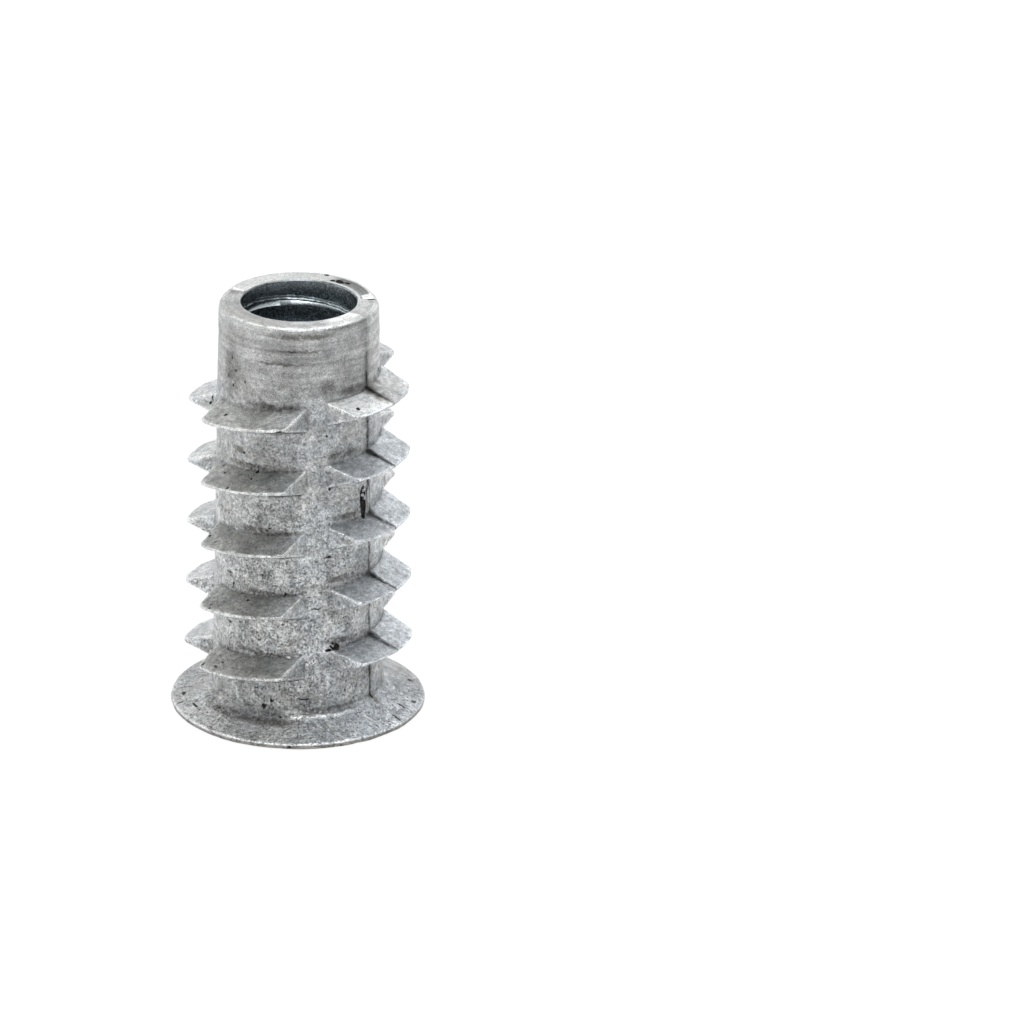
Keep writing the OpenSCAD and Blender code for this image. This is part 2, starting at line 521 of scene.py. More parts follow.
def cut_bore(body):
    """Cuts the mouth, the bore, the key's socket and the bolt thread."""
    mouth_z = LENGTH - MOUTH_DEPTH
    bore = turned("bore", [
        (MINOR_R, -1), (MINOR_R, mouth_z - (MOUTH_R - MINOR_R)), (MOUTH_R - 0.02, mouth_z),
        (MOUTH_R, mouth_z + 0.05), (MOUTH_R, RIM_Z - 0.07), (MOUTH_R + 0.02, RIM_Z - 0.03),
        (MOUTH_R + 0.06, RIM_Z + 0.01), (MOUTH_R + 0.08, LENGTH + 1)])
    lead_in = turned("lead_in", [(LEAD_IN_R + 0.5, -0.5), (LEAD_IN_R + 0.03, -0.03),
                                 (LEAD_IN_R - 0.04, 0.04), (MINOR_R, LEAD_IN_R - MINOR_R)])
    for cutter in (bore, lead_in, key_socket(), bolt_thread(), undercut()):
        coat(cutter, BORE)
        combine(body, cutter, "DIFFERENCE")


# ---------------------------------------------------------------- casting's surface

def blob(angle, radius, z, across, tall, deep, number):
    """A small lumpy solid at a place on the casting; its number sets its shape."""
    bpy.ops.object.select_all(action="DESELECT")
    bpy.ops.mesh.primitive_ico_sphere_add(subdivisions=3, radius=0.5)
    lump = bpy.context.object
    move(lump, shift=(BLOB_APART * number, 0, 0))
    roughen(lump, 0.55)
    move(lump, shift=(-BLOB_APART * number, 0, 0))
    move(lump, size=(deep, across, tall))
    move(lump, turn=(0, 0, angle), shift=spot_on(radius, angle, z))
    return lump


# angle round the bore, radius, height, width round, height, depth, in degrees and mm
PITS = [
    (-105, 4.47, 15.45, 0.20, 0.20, 0.20), (-120, 4.58, 9.16, 0.18, 0.16, 0.18),
    (-117, 4.70, 9.16, 0.16, 0.16, 0.18), (-108, 4.86, 9.14, 0.14, 0.14, 0.16),
    (-109, 5.06, 6.02, 0.16, 0.14, 0.16), (-107, 5.30, 6.00, 0.14, 0.12, 0.14),
    (-21, 4.60, 16.05, 0.22, 0.22, 0.22), (-31.5, 3.94, 4.12, 0.46, 0.40, 0.30),
    (-33, 3.96, 4.30, 0.16, 0.26, 0.20), (-36, 3.96, 4.02, 0.34, 0.16, 0.20),
    (0.5, 4.05, 2.22, 0.24, 0.30, 0.20), (0, 4.10, 1.15, 0.16, 0.40, 0.30),
    (21, 3.70, 16.80, 0.20, 0.22, 0.16), (-22, 5.17, 15.90, 0.14, 0.16, 0.14),
    (-80, 3.99, 1.20, 0.24, 0.24, 0.16), (-75, 3.99, 1.50, 0.16, 0.16, 0.12),
    (84, 2.97, 19.92, 0.54, 0.24, 0.28), (100, 3.30, 19.98, 0.30, 0.12, 0.14),
    (-37, 3.76, 14.60, 0.12, 0.14, 0.12),
    (-35, 3.80, 12.00, 0.14, 0.14, 0.12), (-67, 4.10, 8.32, 0.20, 0.14, 0.24),
    (-66, 4.04, 3.82, 0.22, 0.12, 0.20), (-6.5, 3.86, 10.92, 0.40, 1.70, 0.50),
    # the second on this line is a painted shadow: a black wedge cut under the lip's end
    (-61, 5.98, 0.10, 0.24, 0.30, 0.16), (36.5, 3.32, 19.87, 0.11, 0.16, 0.50),
    (76, 3.05, 19.95, 0.34, 0.22, 0.16), (91, 2.93, 19.92, 0.30, 0.16, 0.16),
]

BLISTERS = [
    (-6.0, 3.84, 11.52, 0.20, 0.20, 0.18), (-7.5, 3.84, 11.30, 0.18, 0.18, 0.18),
    (-5.0, 3.83, 11.12, 0.14, 0.22, 0.16), (-1.2, 3.84, 10.80, 0.16, 1.55, 0.18),
    (-63, 4.10, 3.84, 0.22, 0.16, 0.20), (-58, 3.98, 3.84, 0.26, 0.16, 0.20),
    (-52, 3.94, 3.70, 0.20, 0.20, 0.14),
]


def flange_bead():
    """The squeezed-out bead along the flange's root, painted bright as a highlight, in two
    lengths.
    """
    lengths = []
    for start, end, radius in BEAD_LENGTHS:
        bead = ring_bar(radius, BEAD_THICKNESS, BEAD_Z, 512)
        keep_part(bead, start, end)
        roughen(bead, 0.16)
        lengths.append(bead)
    return joined(lengths)


def eased(values, ends, ties, passes):
    """Averages values with their neighbours' along the edges, pass after pass."""
    a, b = ends
    count = len(ties)
    for _ in range(passes):
        total = np.stack([np.bincount(a, column[b], count) + np.bincount(b, column[a], count)
                          for column in values.T], 1)
        values = 0.5 * values + 0.5 * total / ties[:, None]
    return values


def store(mesh, values):
    """Stores how far proud each point is, for the skin's finish."""
    stored = (mesh.attributes.get("fine_relief")
              or mesh.attributes.new("fine_relief", "FLOAT", "POINT"))
    stored.data.foreach_set("value", values)


def mark_relief(casting):
    """Measures how far each point stands proud of what lies close round it."""
    mesh = casting.data
    count = len(mesh.vertices)
    places, normals = np.empty(count * 3), np.empty(count * 3)
    mesh.vertices.foreach_get("co", places)
    mesh.vertices.foreach_get("normal", normals)
    places, normals = places.reshape(-1, 3), normals.reshape(-1, 3)
    ends = np.empty(len(mesh.edges) * 2, int)
    mesh.edges.foreach_get("vertices", ends)
    ends = ends[0::2], ends[1::2]
    ties = np.bincount(ends[0], minlength=count) + np.bincount(ends[1], minlength=count)
    height = ((places - eased(places, ends, ties, 8)) * normals).sum(1) / PROUD
    height = eased(height[:, None], ends, ties, 2)[:, 0]
    store(mesh, np.clip(height, -1, 1))


def cast_skin(casting):
    """One skin over the fused solid, softened and a little uneven as a casting's is."""
    modify(casting, "REMESH", mode="VOXEL", voxel_size=CELL, use_smooth_shade=True)
    modify(casting, "SMOOTH", factor=0.5, iterations=3)
    mark_relief(casting)
    modify(casting, "DISPLACE", texture=clouds("swell", 0.8), strength=SWELL, mid_level=0.5)
    triangles = 2 * len(casting.data.polygons)
    modify(casting, "DECIMATE", ratio=min(1.0, SKIN_FACES / triangles))


def add_proud(body, proud, finish, relief=WORN_GLINT):
    """Fuses on something that stands proud, so that its edges are painted bright, part wear and
    part painted highlight.
    """
    coat(proud, finish)
    store(proud.data, [relief] * len(proud.data.vertices))
    combine(body, proud, "UNION")


def blobs(places, first=0):
    """One piece of the blobs at these places, which take their shapes' numbers in turn."""
    return joined([blob(*place, number) for number, place in enumerate(places, first)])


def make_casting():
    """The whole casting: fused, skinned, trimmed, cut and marked, then brought to metres."""
    body = flange_and_barrel()
    for wing in all_wings():
        combine(body, wing, "UNION")
    cast_skin(body)
    coat(body, SKIN)
    add_proud(body, trimmed_lip(), TRIM)
    # the bead's brightness is a painted highlight
    add_proud(body, flange_bead(), SKIN, BEAD_GLINT)
    cut_bore(body)
    pits = blobs(PITS)
    # the pits are coloured almost black; the one under the lip's end is a painted shadow
    coat(pits, BLACK_FILL)
    combine(body, pits, "DIFFERENCE")
    add_proud(body, blobs(BLISTERS, 40), SKIN)
    move(body, size=(MM, MM, MM))
    only(body)
    bpy.ops.object.shade_smooth_by_angle(angle=math.radians(50))
    body.name = "insert_casting"
    return body


# ---------------------------------------------------------------- materials

class Nodes:
    """Short way to add nodes to a tree and link them."""

    def __init__(self, tree):
        self.tree = tree

    def add(self, kind, inputs=(), **settings):
        node = self.tree.nodes.new("ShaderNode" + kind)
        for name, value in settings.items():
            setattr(node, name, value)
        for socket, value in dict(inputs).items():
            if isinstance(value, bpy.types.NodeSocket):
                self.tree.links.new(value, node.inputs[socket])
            else:
                node.inputs[socket].default_value = value
        return node

    def math(self, operation, a, b=0.0, c=0.0, clamp=False):
        return self.add("Math", {0: a, 1: b, 2: c}, operation=operation,
                        use_clamp=clamp).outputs[0]

    def times(self, first, *others):
        """The product of several values."""
        for other in others:
            first = self.math("MULTIPLY", first, other)
        return first

    def vector(self, operation, a, b):
        return self.add("VectorMath", {0: a, 1: b}, operation=operation).outputs[0]

    def length(self, vector):
        return self.add("VectorMath", {0: vector}, operation="LENGTH").outputs["Value"]

    def parts(self, vector):
        return self.add("SeparateXYZ", {0: vector}).outputs

    def span(self, value, low, high, to_low=0.0, to_high=1.0):
        """Maps a value's range to another one, and keeps it inside."""
        return self.add("MapRange", {0: value, 1: low, 2: high, 3: to_low, 4: to_high},
                        clamp=True).outputs[0]

    def around(self, value, centre, outer, inner, to_outer=0.0, to_inner=1.0):
        """A band round a value's centre, full inside its inner half width."""
        away = self.math("ABSOLUTE", self.math("SUBTRACT", value, centre))
        return self.span(away, outer, inner, to_outer, to_inner)

    def scaled(self, tone, mask, factor):
        """A tone, multiplied by a factor where a mask is full."""
        return self.math("MULTIPLY", tone, self.span(mask, 0, 1, 1.0, factor))

    def blend(self, mask, a, b):
        """One value where a mask is empty, another where it is full."""
        return self.add("Mix", {0: mask, 2: a, 3: b}, data_type="FLOAT").outputs[0]

    def mix(self, mask, a, b, blend="MIX"):
        """The same for colours."""
        return self.add("Mix", {0: mask, 6: a, 7: b}, data_type="RGBA",
                        blend_type=blend).outputs[2]

    def noise(self, vector, scale, detail=2.0, rough=0.5, output="Fac"):
        return self.add("TexNoise", {"Vector": vector, "Scale": scale, "Detail": detail,
                                     "Roughness": rough}).outputs[output]

    def group(self, tree, inputs=()):
        node = self.tree.nodes.new("ShaderNodeGroup")
        node.node_tree = tree
        for socket, value in dict(inputs).items():
            self.tree.links.new(value, node.inputs[socket])
        return node.outputs

    def link(self, value, node, socket):
        self.tree.links.new(value, node.inputs[socket])


def new_group(name, inputs, outputs):
    """An empty node group with these sockets: name to kind, FLOAT or VECTOR."""
    group = bpy.data.node_groups.new(name, "ShaderNodeTree")
    for way, sockets in (("INPUT", inputs), ("OUTPUT", outputs)):
        for socket, kind in sockets.items():
            group.interface.new_socket(socket, in_out=way,
                                       socket_type="NodeSocket" + kind.title())
    return group, Nodes(group)


def put_out(nodes, values):
    out = nodes.tree.nodes.new("NodeGroupOutput")
    for name, value in values.items():
        nodes.link(value, out, name)


# angle round the bore, radius, height, half size round, out and up, in degrees and mm
SPOTS = [
    (-66, 5.23, 15.38, 0.20, 0.20, 0.10), (-98, 3.73, 13.53, 0.07, 0.2, 0.07),
    (-130, 3.79, 13.22, 0.04, 0.2, 0.16), (-117, 3.96, 12.59, 0.07, 0.08, 0.2),
    (-86, 3.85, 12.75, 0.08, 0.09, 0.2), (-87, 4.32, 12.59, 0.07, 0.08, 0.2),
    (-96, 5.13, 12.27, 0.06, 0.08, 0.2), (-109, 4.27, 12.43, 0.06, 0.07, 0.2),
    (-110, 3.92, 4.90, 0.06, 0.2, 0.06), (-100, 3.91, 5.06, 0.08, 0.2, 0.05),
    (-111, 3.90, 7.35, 0.26, 0.2, 0.04), (-107, 3.94, 6.85, 0.04, 0.2, 0.30),
    (-89, 4.31, 6.47, 0.07, 0.08, 0.2), (-82, 3.88, 7.73, 0.07, 0.2, 0.05),
    (-65, 3.89, 6.94, 0.08, 0.2, 0.07), (-36, 3.88, 8.66, 0.22, 0.2, 0.05),
    (-45, 3.95, 6.16, 0.26, 0.2, 0.05), (-53, 3.97, 1.68, 0.30, 0.2, 0.04),
    (-68, 3.98, 5.37, 0.07, 0.2, 0.07), (-98, 3.74, 16.95, 0.05, 0.2, 0.06),
    (-112, 3.73, 17.90, 0.06, 0.2, 0.07), (-107, 3.73, 17.35, 0.08, 0.2, 0.06),
    (-116, 3.74, 16.95, 0.06, 0.2, 0.08), (-110, 3.74, 16.60, 0.08, 0.2, 0.06),
    (44, 5.33, 0.51, 0.12, 0.12, 0.2), (19, 5.56, 0.35, 0.10, 0.12, 0.2),
    (10, 5.17, 0.45, 0.05, 0.30, 0.2), (-1, 5.55, 0.35, 0.05, 0.42, 0.2),
    (-141, 5.35, 0.40, 0.10, 0.12, 0.2), (-164, 4.97, 0.51, 0.06, 0.14, 0.2),
    (-133, 5.66, 0.35, 0.06, 0.16, 0.2), (-124, 5.20, 0.45, 0.30, 0.07, 0.2),
    (-68, 4.33, 0.82, 0.07, 0.08, 0.2), (-114, 5.23, 2.86, 0.07, 0.09, 0.2),
    (-105, 5.12, 3.02, 0.07, 0.08, 0.2), (-104, 4.77, 3.18, 0.06, 0.07, 0.2),
    (-146, 4.03, 14.86, 0.03, 0.16, 0.10), (-145, 3.94, 15.10, 0.03, 0.06, 0.14),
    (-1, 3.69, 16.95, 0.06, 0.2, 0.40), (-77, 3.75, 10.10, 0.08, 0.2, 0.05),
]

# Soft dark patches, in the same columns as the spots: some stains, and painted shade above the
# wings' roots, in the step across the top +X wing and on the flange under the lowest -Y wing
STAINS_AND_SHADE = [
    (-55, 3.65, 19.46, 1.90, 0.4, 0.14), (-72, 3.70, 18.12, 1.70, 0.3, 0.06),
    (-60, 3.70, 18.75, 1.60, 0.3, 0.06), (-112, 3.74, 17.20, 0.60, 0.3, 1.10),
    (-36, 3.74, 16.95, 0.40, 0.3, 0.40), (0, 3.95, 16.45, 0.50, 0.45, 0.30),
    (11, 3.75, 16.51, 0.25, 0.3, 0.20), (-74, 3.78, 16.00, 1.40, 0.25, 0.17),
    (-103, 3.80, 13.60, 0.45, 0.3, 0.20), (0, 4.02, 2.30, 0.30, 0.3, 0.30),
    (0, 4.25, 1.00, 0.25, 0.4, 0.25), (-38, 4.16, 1.09, 1.50, 0.18, 0.15),
    # these two are painted shadow on the flange under the lowest -Y wing
    (-100, 4.62, 0.72, 1.30, 0.32, 0.24), (-76, 4.66, 0.72, 1.30, 0.28, 0.24),
    (-22, 5.20, 15.50, 0.50, 0.2, 0.15), (-1, 4.60, 16.10, 0.30, 0.5, 0.30),
    # painted shade from here on, above the roots of the -Y and the +X wings
    (-90, 3.80, 12.94, 1.60, 0.2, 0.15), (-80, 3.85, 9.90, 1.60, 0.2, 0.15),
    (-78, 3.90, 6.84, 1.40, 0.2, 0.12), (-84, 3.95, 3.80, 1.20, 0.2, 0.10),
    (-24, 3.80, 13.60, 0.90, 0.2, 0.20), (-22, 3.85, 10.52, 0.80, 0.2, 0.16),
    (-24, 3.90, 7.50, 0.90, 0.2, 0.18), (-26, 3.95, 4.44, 0.80, 0.2, 0.14),
    (-16, 3.75, 16.64, 0.80, 0.2, 0.22),
]


def polar(n, place):
    """The angle round the bore, in radians, and the distance from it, in mm."""
    parts = n.parts(place)
    angle = n.math("ARCTAN2", parts["Y"], parts["X"])
    return angle, n.length(n.vector("MULTIPLY", place, (1, 1, 0)))


def cast_grain():
    """Shared pattern of cast zinc, from places in mm: patches, mottle, specks and crackle."""
    names = ("Patch", "Hue", "Mottle", "Speck", "Grain", "Crackle", "Streak", "Angle", "Radius")
    outputs = dict.fromkeys(names, "FLOAT")
    outputs["Place"] = "VECTOR"
    group, n = new_group("cast_grain", {}, outputs)
    place = n.add("TexCoord").outputs["Object"]
    mm = n.vector("MULTIPLY", place, (1 / MM, 1 / MM, 1 / MM))
    angle, radius = polar(n, mm)
    # long round the bore, short up it
    round_about = n.add("CombineXYZ", {0: n.math("MULTIPLY", angle, 1.1),
                                       1: n.math("MULTIPLY", radius, 5.0),
                                       2: n.math("MULTIPLY", n.parts(mm)["Z"], 4.0)}).outputs[0]
    # a crack runs where a noise crosses its middle, and only in some patches
    cracks = []
    for scale, detail, rough, thin, wide, patches, rare, often in (
            (2.6, 5, 0.62, 0.003, 0.014, 0.9, 0.47, 0.58),
            (7.0, 3, 0.6, 0.0, 0.024, 1.7, 0.46, 0.60)):
        veins = n.around(n.noise(mm, scale, detail, rough), 0.5, wide, thin)
        cracks.append(n.times(veins, n.span(n.noise(mm, patches), rare, often)))
    put_out(n, {
        "Patch": n.noise(mm, 1.15, 4, 0.6), "Hue": n.noise(mm, 0.8, 3, 0.6),
        "Mottle": n.noise(mm, 4.2, 4, 0.7), "Speck": n.noise(mm, 9.0, 4, 0.75),
        "Grain": n.noise(mm, 17.0, 3, 0.7), "Crackle": n.math("MAXIMUM", *cracks),
        "Streak": n.noise(round_about, 1.0, 4, 0.65), "Angle": n.math("DEGREES", angle),
        "Radius": radius, "Place": mm})
    return group


def closest_mark(n, place, marks):
    """How far a place is from the nearest of these marks, in their own half sizes."""
    closest = 9.0
    for turn, out, up, *half in marks:
        centre = (math.radians(turn) * UNROLL_R, out, up)
        away = n.add("VectorMath", {0: place, 1: [1 / h for h in half],
                                    2: [-c / h for c, h in zip(centre, half)]},
                     operation="MULTIPLY_ADD").outputs[0]
        closest = n.math("MINIMUM", closest, n.length(away))
    return closest


def parting_line(n, mm, radius):
    """The dark line of the parting plane, up the +X side, with painted shade beside it, and dots
    of it on the -X side.
    """
    parts = n.parts(mm)
    aside = n.math("ADD", parts["Y"], n.span(n.noise(mm, 3.5, 3), 0, 1, -0.14, 0.14))
    aside = n.math("ABSOLUTE", n.math("ADD", aside, n.span(parts["Z"], 16.0, 16.6, 0.0, 0.07)))
    on_wing = n.span(aside, 0.10, 0.02, 0.0, 0.8)
    on_plain_end = n.span(aside, 0.30, 0.02, 0.0, 0.85)
    on_wall = n.span(aside, 0.18, 0.03)
    line = n.blend(n.span(parts["Z"], 15.9, 16.6), on_wall, on_plain_end)
    line = n.blend(n.span(radius, 4.1, 4.3), line, on_wing)
    along = n.noise(n.vector("MULTIPLY", mm, (0, 0, 1)), 1.4, 3, 0.7)
    line = n.times(line, n.span(along, 0.38, 0.55, 0.6, 1.0), n.span(parts["X"], *PLUS_X_WALL),
                   n.span(parts["Z"], 18.8, 17.9, 0.35, 1.0),
                   n.span(parts["Z"], 0.9, 1.2, 0.35, 1.0))
    # painted shade: the wall darkens softly towards the line from its -Y side, where the step
    # between the die halves would shade it
    step_shade = n.times(n.span(parts["Y"], -0.75, -0.05, 0.0, 0.38),
                     n.span(parts["Y"], 0.05, -0.02), n.span(parts["X"], *PLUS_X_WALL),
                     n.span(parts["Z"], 1.0, 1.4), n.span(radius, 4.3, 4.05))
    dots = n.times(n.span(aside, 0.08, 0.02), n.span(n.noise(mm, 7, 1), 0.45, 0.6),
                   n.span(parts["X"], -3.9, -4.0))
    return n.math("MAXIMUM", n.math("MAXIMUM", line, step_shade), dots)


def cast_marks():
    """Where the casting is marked: small black spots, soft stains with painted shade among them,
    and the parting line with painted shade beside it.
    """
    outputs = dict.fromkeys(("Spot", "StainAndShade", "PartingLineAndShade"), "FLOAT")
    group, n = new_group("cast_marks", {"Place": "VECTOR"}, outputs)
    mm = n.tree.nodes.new("NodeGroupInput").outputs["Place"]
    angle, radius = polar(n, mm)
    unrolled = n.add("CombineXYZ", {0: n.math("MULTIPLY", angle, UNROLL_R), 1: radius,
                                    2: n.parts(mm)["Z"]}).outputs[0]
    stray = n.noise(mm, 5.0, 3.0, 0.6, "Color")
    stray = n.vector("MULTIPLY", n.vector("SUBTRACT", stray, (0.5, 0.5, 0.5)), (0.3, 0.1, 0.3))
    near = n.vector("ADD", unrolled, stray)
    broken = n.span(n.noise(mm, 3.5, 4, 0.7), 0.30, 0.55, 0.25, 1.0)
    put_out(n, {"Spot": n.span(closest_mark(n, near, SPOTS), 1.15, 0.75),
                "StainAndShade": n.times(n.span(closest_mark(n, near, STAINS_AND_SHADE), 1.3, 0.6), broken),
                "PartingLineAndShade": parting_line(n, mm, radius)})
    return group


def start_finish(material, group, metallic=1.0):
    """Sets a material up: gives its nodes, its shader and the shared grain in it."""
    n = Nodes(material.node_tree)
    shader = material.node_tree.nodes["Principled BSDF"]
    shader.inputs["Metallic"].default_value = metallic
    return n, shader, n.group(group)


def add_bump(n, shader, height, strength, depth):
    """Roughens a material's surface by a height, down to a depth in metres."""
    bump = n.add("Bump", {"Height": height, "Strength": strength, "Distance": depth})
    n.link(bump.outputs["Normal"], shader, "Normal")


def skin_areas(n, grain):
    """Masks of the skin's areas, and how rugged the skin is."""
    place = n.parts(grain["Place"])
    angle, radius, z = grain["Angle"], grain["Radius"], place["Z"]
    up = n.parts(n.add("NewGeometry").outputs["True Normal"])["Z"]
    flat = n.span(up, 0.6, 0.85)
    wall = n.math("SUBTRACT", 1.0, flat)
    plain_end = n.span(z, *PLAIN_END_Z)
    flange = n.times(n.span(z, *FLANGE_Z), flat)
    # painted shade: the upward flanks round the -Y side, not the flange
    shaded_flanks = n.times(n.around(angle, *FLANK_SHADE_BAND), n.math("SUBTRACT", flat, flange, clamp=True))
    plus_x = n.around(angle, *PARTING_BAND)
    # low walls and the flange are the most crackled, flanks and the plain end the smoothest
    rugged = n.times(n.span(z, 18.0, 8.0, 0.30, 1.0), n.span(flat, 0, 1, 1, 0.45))
    rugged = n.math("MAXIMUM", rugged, flange)
    rugged = n.math("MULTIPLY_ADD", shaded_flanks, n.span(z, 14.0, 6.0, 0.15, 0.40), rugged, clamp=True)
    return {
        "flat": flat, "plain_end": plain_end, "flange": flange, "shaded_flanks": shaded_flanks, "rugged": rugged,
        "z": z, "plus_x": plus_x, "plus_x_flank": n.times(plus_x, flat),
        "highest": n.span(z, *TOP_FLANKS_Z),
        "low_wall": n.times(n.span(z, *LOW_WALLS_Z), n.span(z, 2.6, 3.4, 0.2, 1.0),
                            n.span(flat, 0, 1, 1.0, 0.2)),
        "shaded": n.times(n.around(angle, *SHADED_BAND), wall, n.span(z, *SHADED_Z)),
        # the upper wall on the -X, -Y side, made a little lighter
        "paler_back_left": n.times(n.span(place["X"], -2.6, -2.9), n.span(place["Y"], -2.0, -2.1),
                         n.span(radius, 3.85, 4.05)),
        # painted highlight: a broken bright line on the rim's outer edge, round -70 degrees
        "rim": n.times(n.span(radius, 3.49, 3.53), n.span(radius, 3.60, 3.56),
                       n.around(angle, *RIM_GLINT_BAND), n.span(z, *RIM_EDGE_Z),
                       n.span(n.noise(grain["Place"], 2.2, 3, 0.6), 0.40, 0.52)),
        "side": n.times(n.span(radius, *FLANGE_SIDE_R), n.span(z, 0.22, 0.18),
                        n.span(up, 0.5, 0.2)),
        # painted light and shade: on the top +X flanks the -Y half is made much lighter and the +Y
        # half a little darker
        "split_flank_light": n.span(place["Y"], 0.05, -0.05, 0.93, 1.70),
    }


def skin_tone(n, grain, area, relief, mark, dark):
    """How pale the skin is: its grain, then its areas, some with painted light and shade, then
    painted shade in its hollows, bright edges that are part wear and part painted highlight, a
    painted highlight on the rim, spots, and stains with painted shade among them.
    """
    angle = grain["Angle"]
    tone = n.span(grain["Patch"], 0.32, 0.68, *SKIN_TONE)
    mottle = n.blend(area["plain_end"], n.span(grain["Mottle"], 0.30, 0.70, 0.60, 1.38),
                     n.span(grain["Mottle"], 0.30, 0.70, 0.80, 1.10))
    streak = n.blend(area["plain_end"], n.span(grain["Streak"], 0.30, 0.70, 0.90, 1.08),
                     n.span(grain["Streak"], 0.30, 0.70, 0.64, 1.20))
    tone = n.times(tone, mottle, streak, n.span(grain["Grain"], 0.25, 0.75, 0.40, 1.62))
    # painted shade: the flange round -65 degrees is darkened, standing in for a dark reflection
    flange_front_shade = n.around(angle, *FLANGE_SHADE_BAND, 0.80, 1.0)
    # painted light and shade round the plain end: lighter near -87 degrees and past +8 degrees, a
    # little darker between
    across = n.times(n.around(angle, *PLAIN_END_SHEEN_BAND, 0.94, 1.14), n.span(angle, 2, 8, 1.0, 1.28))
    for mask, factor in (
            # painted shade on the -Y side's upward flanks
            (area["shaded_flanks"], n.span(area["z"], 14.6, 13.8, 0.76, 0.71)),
            # painted light and shade on the two halves of the top +X flanks
            (n.times(area["plus_x_flank"], area["highest"]), area["split_flank_light"]),
            # painted shade on the flange round -65 degrees
            (area["flange"], flange_front_shade),
            # painted reflection: the flange's +X side made lighter
            (n.times(area["flange"], n.around(angle, *FLANGE_SHEEN_BAND)), 1.20),
            (area["low_wall"], 1.16), (area["shaded"], 0.86),
            # painted light and shade round the plain end, then the plain end a little darker
            # overall, then the upper back-left wall a little lighter
            (area["plain_end"], across), (area["plain_end"], 0.95), (area["paler_back_left"], 1.08)):
        tone = n.scaled(tone, mask, factor)
    # painted shade: hollows, creases and wing roots are darkened by how far they sink below what
    # is round them
    tone = n.times(tone, n.span(relief, -0.75, -0.12, 0.46, 1.0))
    # bright edges: part wear and part painted highlight, broken up in patches; the bead's is
    # wholly a painted highlight
    worn_glint_patches = n.span(n.noise(grain["Place"], 2.6, 3, 0.6), 0.38, 0.60, 0.45, 1.10)
    edge = n.times(n.span(relief, 0.12, 0.6), n.span(area["plus_x"], 0, 1, 0.44, 0.28), worn_glint_patches)
    edge = n.scaled(edge, n.times(area["plus_x"], area["highest"]), 0.35)
    edge = n.math("MAXIMUM", edge, n.span(relief, 1.2, 1.8, 0.0, 0.5))
    tone = n.math("ADD", tone, edge, clamp=True)
    # painted highlight on the rim's edge
    tone = n.math("MULTIPLY_ADD", area["rim"], 0.4, tone, clamp=True)
    tone = n.times(tone, n.math("SUBTRACT", 1.0, dark))
    # stains and painted shade darken the tone, and the flange's side is made darker
    return n.scaled(n.scaled(tone, mark["StainAndShade"], 0.42), area["side"], 0.42)


def skin_tint(n, grain, area, mark):
    """The skin's faint colours: warm by area, a painted blue reflection on the +X flanks, olive in
    the painted shade of the -Y flanks, brown in stains, in painted shade and on the flange's side.
    """
    tint = n.mix(n.span(grain["Hue"], 0.38, 0.62), (0.98, 0.992, 0.985, 1),
                 (0.945, 0.987, 1.025, 1))
    flank = n.math("SUBTRACT", area["flat"], area["flange"])
    warm = n.times(n.around(grain["Angle"], *WARM_BAND, 0.0, 0.42),
                   n.math("SUBTRACT", 1.0, flank))
    # painted reflection: a cool blue on the +X flanks below the top row
    blue_reflection = n.times(area["plus_x_flank"], n.math("SUBTRACT", 1.0, area["highest"]), 0.8)
    brown = n.math("MAXIMUM", n.times(mark["StainAndShade"], 0.5), n.times(area["side"], 0.8))
    for mask, colour in ((warm, (0.99, 0.992, 0.965, 1)),
                         # the painted shade on the -Y flanks also takes an olive colour
                         (n.times(area["shaded_flanks"], 0.8), (0.985, 1.0, 0.958, 1)),
                         (blue_reflection, (0.915, 0.973, 1.035, 1)),
                         (n.times(area["plain_end"], 0.6), (0.99, 1.0, 0.985, 1)),
                         (brown, (1.02, 0.98, 0.93, 1))):
        tint = n.mix(mask, tint, colour)
    return tint


def finish_skin(material, group, marks):
    """The outside: matt cast zinc, with bright edges that are part wear and part painted
    highlight, and painted shade in its hollows.
    """
    n, shader, grain = start_finish(material, group)
    mark = n.group(marks, {"Place": grain["Place"]})
    relief = n.add("Attribute", attribute_name="fine_relief").outputs["Fac"]
    area = skin_areas(n, grain)
    rugged = area["rugged"]
    dark = n.times(n.span(grain["Speck"], 0.45, 0.34), rugged, 0.90)
    for other, strength in ((n.times(grain["Crackle"], rugged, rugged), 0.80),
                            (mark["Spot"], 0.93), (mark["PartingLineAndShade"], 0.88)):
        dark = n.math("MAXIMUM", dark, n.times(other, strength))
    tone = skin_tone(n, grain, area, relief, mark, dark)
    grey = n.add("CombineColor", {0: tone, 1: tone, 2: tone}).outputs[0]
    n.link(n.mix(1.0, skin_tint(n, grain, area, mark), grey, "MULTIPLY"), shader, "Base Color")

    rough = n.span(grain["Mottle"], 0.35, 0.65, *SKIN_ROUGH)
    polished = n.math("MAXIMUM", area["rim"], n.span(relief, 0.12, 0.6))
    height = n.times(grain["Mottle"], 0.5)
    for value, share in ((dark, 0.25), (area["flange"], -0.10), (polished, -0.13)):
        rough = n.math("MULTIPLY_ADD", value, share, rough)
    for value, share in ((grain["Speck"], 0.35), (grain["Grain"], 0.12), (dark, -0.30)):
        height = n.math("MULTIPLY_ADD", value, share, height)
    n.link(rough, shader, "Roughness")
    add_bump(n, shader, height, 0.9, SKIN_BUMP)


